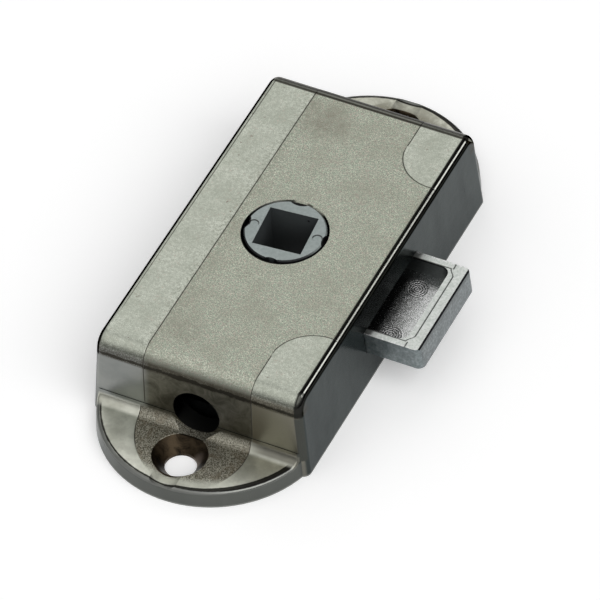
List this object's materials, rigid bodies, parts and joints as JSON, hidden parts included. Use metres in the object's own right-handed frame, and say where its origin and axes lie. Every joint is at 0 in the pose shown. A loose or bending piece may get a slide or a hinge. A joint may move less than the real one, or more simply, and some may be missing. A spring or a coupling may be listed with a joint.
{
  "type": "rim cupboard lock",
  "caption": "Surface-mounted cupboard lock with a square spindle drive, a straight sliding bolt and geared rod carriers in a die-cast case.",
  "frame": {"origin": "on the rotor's axis in the plane of the mounting back", "axes": "+Z out of the front face along the rotor's axis, +X the way the bolt is thrown, +Y along the case from lug to lug"},
  "size_m": [0.0458, 0.09, 0.0157],
  "materials": {
    "nickel_casting": "satin nickel plate",
    "rotor_casting": "matte as cast",
    "bolt_casting": "as cast",
    "plated_steel": "zinc plated",
    "spring_steel": "bright"
  },
  "bodies": {
    "case_body": {"case": "nickel_casting", "back_plate": "plated_steel", "cover_screws": "plated_steel", "spacer_sleeves": "plated_steel", "guide_bracket": "plated_steel", "friction_ring": "plated_steel", "thrust_washer": "plated_steel", "detent_spring": "spring_steel"},
    "rotor_body": {"rotor": "rotor_casting"},
    "bolt_body": {"bolt": "bolt_casting"},
    "carrier_upper_body": {"rod_carrier_upper": "bolt_casting"},
    "carrier_lower_body": {"rod_carrier_lower": "bolt_casting"}
  },
  "joints": [
    {"name": "rotor_turn", "type": "hinge", "parent": "case_body", "child": "rotor_body", "pos_m": [0, 0, 0.008], "axis": [0, 0, 1], "range_deg": [-77.14, 0], "deforming": ["detent_spring"]},
    {"name": "bolt_slide", "type": "slide", "parent": "case_body", "child": "bolt_body", "axis": [1, 0, 0], "range_m": [-0.00942, 0]},
    {"name": "carrier_upper_slide", "type": "slide", "parent": "case_body", "child": "carrier_upper_body", "axis": [0, 1, 0], "range_m": [-0.00942, 0]},
    {"name": "carrier_lower_slide", "type": "slide", "parent": "case_body", "child": "carrier_lower_body", "axis": [0, -1, 0], "range_m": [-0.00942, 0]}
  ],
  "couplings": [
    {"joint": "rotor_turn", "follows": "bolt_slide", "rad_per_m": 142.86},
    {"joint": "carrier_upper_slide", "follows": "bolt_slide", "ratio": 1},
    {"joint": "carrier_lower_slide", "follows": "bolt_slide", "ratio": 1}
  ]
}
